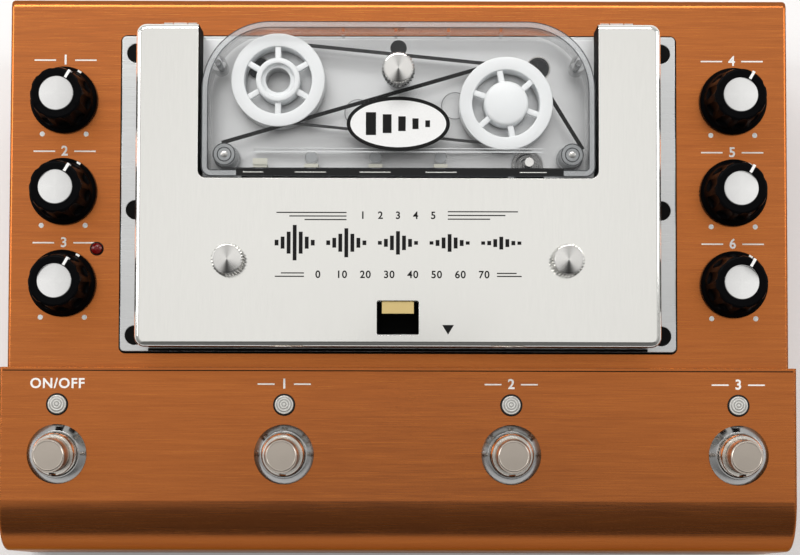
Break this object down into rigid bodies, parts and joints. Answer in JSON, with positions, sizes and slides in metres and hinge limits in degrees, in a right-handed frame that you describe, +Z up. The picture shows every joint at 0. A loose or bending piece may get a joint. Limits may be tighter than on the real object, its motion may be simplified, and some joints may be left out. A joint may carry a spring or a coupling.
{
  "type": "tape echo unit",
  "caption": "Foot-operated tape echo with sloping copper-coloured case, foot switches, control knobs, and a hinged tape deck under a lift-off cover that holds a clear loop cartridge.",
  "frame": {"origin": "middle of the footprint, on the surface that the rubber feet stand on", "axes": "+X to the right seen from the front, +Y to the rear where the sockets are, +Z up"},
  "size_m": [0.24, 0.171, 0.095],
  "materials": {
    "case_shell": "brushed and anodised in a copper colour, grain from side to side",
    "case_base": "satin black",
    "foot_rubber": "matt",
    "steel_screws": "plain",
    "circuit_board": "satin",
    "socket_metal": "nickel plated",
    "black_plastic": "satin",
    "pedal_metal": "turned, worn satin",
    "polished_chrome": "mirror polished",
    "clear_lens": "ribbed inside",
    "red_lens": "translucent red",
    "gasket_rubber": "matt",
    "deck_metal": "fine brushed",
    "latch_brass": "polished",
    "clear_plastic": "clear and slightly smoky",
    "felt": "pressed felt",
    "reel_plastic": "satin white",
    "roller_plastic": "translucent white",
    "head_metal": "ground",
    "arm_black": "satin black",
    "knob_black": "glossy",
    "tape": "smooth dark oxide"
  },
  "bodies": {
    "case": {"audio_sockets": "socket_metal", "base_plate": "case_base", "base_screws": "steel_screws", "bypass_switch": "black_plastic", "circuit_boards": "circuit_board", "deck_gasket": "gasket_rubber", "deck_grommets": "gasket_rubber", "deck_plate": "deck_metal", "front_shell": "case_shell", "hinge_pins": "steel_screws", "latch_keeper": "steel_screws", "pedal_bezels": "polished_chrome", "pedal_switches": "pedal_metal", "potentiometers": "socket_metal", "power_inlet": "black_plastic", "rear_shell": "case_shell", "rubber_feet": "foot_rubber", "signal_lamp": "red_lens", "socket_nuts": "socket_metal", "status_lamps": "clear_lens"},
    "release_latch": {"release_latch": "latch_brass"},
    "top_cover": {"top_cover": "polished_chrome"},
    "cover_screw_left": {"cover_screw_left": "polished_chrome"},
    "cover_screw_right": {"cover_screw_right": "polished_chrome"},
    "cartridge": {"cartridge_base": "clear_plastic", "cartridge_lid": "clear_plastic", "cartridge_screws": "clear_plastic", "pressure_pads": "felt", "tape_loop": "tape"},
    "cartridge_thumbscrew": {"cartridge_thumbscrew": "polished_chrome"},
    "reel_left": {"reel_left": "reel_plastic"},
    "reel_right": {"reel_right": "reel_plastic"},
    "guide_roller_left": {"guide_roller_left": "roller_plastic"},
    "guide_roller_right": {"guide_roller_right": "roller_plastic"},
    "capstan": {"capstan": "steel_screws", "flywheel": "latch_brass"},
    "motor_pulley": {"motor_pulley": "latch_brass"},
    "pinch_arm": {"pinch_arm": "arm_black"},
    "pinch_roller": {"pinch_roller": "gasket_rubber"},
    "bypass_slider": {"bypass_slider": "black_plastic"},
    "tape_deck": {"deck_tray": "deck_metal", "thumbscrew_posts": "deck_metal", "head_block": "black_plastic", "erase_head": "head_metal", "record_head": "head_metal", "playback_heads": "head_metal", "capstan_bearing": "head_metal", "drive_motor": "head_metal", "drive_belt": "gasket_rubber", "latch_spring": "steel_screws"},
    "knob_left_rear": {"knob_left_rear": "knob_black"},
    "knob_left_middle": {"knob_left_middle": "knob_black"},
    "knob_left_front": {"knob_left_front": "knob_black"},
    "knob_right_rear": {"knob_right_rear": "knob_black"},
    "knob_right_middle": {"knob_right_middle": "knob_black"},
    "knob_right_front": {"knob_right_front": "knob_black"},
    "pedal_button_1": {"pedal_button_1": "pedal_metal"},
    "pedal_button_2": {"pedal_button_2": "pedal_metal"},
    "pedal_button_3": {"pedal_button_3": "pedal_metal"},
    "pedal_button_4": {"pedal_button_4": "pedal_metal"}
  },
  "joints": [
    {"name": "tape_deck_hinge", "type": "hinge", "parent": "case", "child": "tape_deck", "pos_m": [0, 0.07264, 0.06972], "axis": [-1, 0, 0], "range_deg": [0, 70], "deforming": ["latch_keeper"]},
    {"name": "release_latch_rocker", "type": "hinge", "parent": "tape_deck", "child": "release_latch", "pos_m": [0, -0.00934, 0.06817], "axis": [1, 0, 0], "range_deg": [0, 14], "stiffness_Nm_per_rad": 0.01, "deforming": ["latch_spring"]},
    {"name": "cover_lift", "type": "slide", "parent": "tape_deck", "child": "top_cover", "axis": [0, -0.0872, 0.9962], "range_m": [0, 0.04]},
    {"name": "cover_screw_left_turn", "type": "hinge", "parent": "top_cover", "child": "cover_screw_left", "pos_m": [-0.0498, -0.00115, 0.08244], "axis": [0, -0.0872, 0.9962], "continuous": true},
    {"name": "cover_screw_right_turn", "type": "hinge", "parent": "top_cover", "child": "cover_screw_right", "pos_m": [0.0498, -0.00115, 0.08244], "axis": [0, -0.0872, 0.9962], "continuous": true},
    {"name": "cartridge_lift", "type": "slide", "parent": "tape_deck", "child": "cartridge", "axis": [0, -0.0872, 0.9962], "range_m": [0, 0.04]},
    {"name": "cartridge_thumbscrew_turn", "type": "hinge", "parent": "cartridge", "child": "cartridge_thumbscrew", "pos_m": [0, 0.05502, 0.08635], "axis": [0, -0.0872, 0.9962], "continuous": true},
    {"name": "capstan_spin", "type": "hinge", "parent": "tape_deck", "child": "capstan", "pos_m": [0.039, 0.03035, 0.06411], "axis": [0, -0.0872, 0.9962], "continuous": true},
    {"name": "motor_spin", "type": "hinge", "parent": "tape_deck", "child": "motor_pulley", "pos_m": [-0.009, 0.02246, 0.04435], "axis": [0, -0.0872, 0.9962], "continuous": true},
    {"name": "reel_left_spin", "type": "hinge", "parent": "cartridge", "child": "reel_left", "pos_m": [-0.036, 0.05442, 0.07254], "axis": [0, -0.0872, 0.9962], "continuous": true},
    {"name": "reel_right_spin", "type": "hinge", "parent": "cartridge", "child": "reel_right", "pos_m": [0.0322, 0.04755, 0.07194], "axis": [0, -0.0872, 0.9962], "continuous": true},
    {"name": "guide_roller_left_spin", "type": "hinge", "parent": "cartridge", "child": "guide_roller_left", "pos_m": [-0.0517, 0.03185, 0.07047], "axis": [0, -0.0872, 0.9962], "continuous": true},
    {"name": "guide_roller_right_spin", "type": "hinge", "parent": "cartridge", "child": "guide_roller_right", "pos_m": [0.0517, 0.03185, 0.07047], "axis": [0, -0.0872, 0.9962], "continuous": true},
    {"name": "pinch_arm_swing", "type": "hinge", "parent": "tape_deck", "child": "pinch_arm", "pos_m": [0.0546, 0.01375, 0.06818], "axis": [0, -0.0872, 0.9962], "range_deg": [0, 12], "stiffness_Nm_per_rad": 0.01},
    {"name": "pinch_roller_spin", "type": "hinge", "parent": "pinch_arm", "child": "pinch_roller", "pos_m": [0.039, 0.02312, 0.07031], "axis": [0, -0.0872, 0.9962], "continuous": true},
    {"name": "knob_left_rear_turn", "type": "hinge", "parent": "case", "child": "knob_left_rear", "pos_m": [-0.1021, 0.05069, 0.06589], "axis": [0, 0.0872, -0.9962], "range_deg": [-180, 120]},
    {"name": "knob_left_middle_turn", "type": "hinge", "parent": "case", "child": "knob_left_middle", "pos_m": [-0.1021, 0.02279, 0.06345], "axis": [0, 0.0872, -0.9962], "range_deg": [-180, 120]},
    {"name": "knob_left_front_turn", "type": "hinge", "parent": "case", "child": "knob_left_front", "pos_m": [-0.1021, -0.0051, 0.06101], "axis": [0, 0.0872, -0.9962], "range_deg": [-180, 120]},
    {"name": "knob_right_rear_turn", "type": "hinge", "parent": "case", "child": "knob_right_rear", "pos_m": [0.1021, 0.05069, 0.06589], "axis": [0, 0.0872, -0.9962], "range_deg": [-180, 120]},
    {"name": "knob_right_middle_turn", "type": "hinge", "parent": "case", "child": "knob_right_middle", "pos_m": [0.1021, 0.02279, 0.06345], "axis": [0, 0.0872, -0.9962], "range_deg": [-180, 120]},
    {"name": "knob_right_front_turn", "type": "hinge", "parent": "case", "child": "knob_right_front", "pos_m": [0.1021, -0.0051, 0.06101], "axis": [0, 0.0872, -0.9962], "range_deg": [-180, 120]},
    {"name": "pedal_button_1_press", "type": "slide", "parent": "case", "child": "pedal_button_1", "axis": [0, 0.0872, -0.9962], "range_m": [0, 0.003], "stiffness_N_per_m": 1500},
    {"name": "pedal_button_2_press", "type": "slide", "parent": "case", "child": "pedal_button_2", "axis": [0, 0.0872, -0.9962], "range_m": [0, 0.003], "stiffness_N_per_m": 1500},
    {"name": "pedal_button_3_press", "type": "slide", "parent": "case", "child": "pedal_button_3", "axis": [0, 0.0872, -0.9962], "range_m": [0, 0.003], "stiffness_N_per_m": 1500},
    {"name": "pedal_button_4_press", "type": "slide", "parent": "case", "child": "pedal_button_4", "axis": [0, 0.0872, -0.9962], "range_m": [0, 0.003], "stiffness_N_per_m": 1500},
    {"name": "bypass_slider_slide", "type": "slide", "parent": "case", "child": "bypass_slider", "axis": [1, 0, 0], "range_m": [-0.0016, 0.0016]}
  ],
  "couplings": [
    {"joint": "motor_spin", "follows": "capstan_spin", "ratio": 5},
    {"joint": "pinch_roller_spin", "follows": "capstan_spin", "ratio": -0.27},
    {"joint": "reel_left_spin", "follows": "capstan_spin", "ratio": 0.11441},
    {"joint": "reel_right_spin", "follows": "capstan_spin", "ratio": 0.11441},
    {"joint": "guide_roller_left_spin", "follows": "capstan_spin", "ratio": 0.39706},
    {"joint": "guide_roller_right_spin", "follows": "capstan_spin", "ratio": 0.39706}
  ]
}
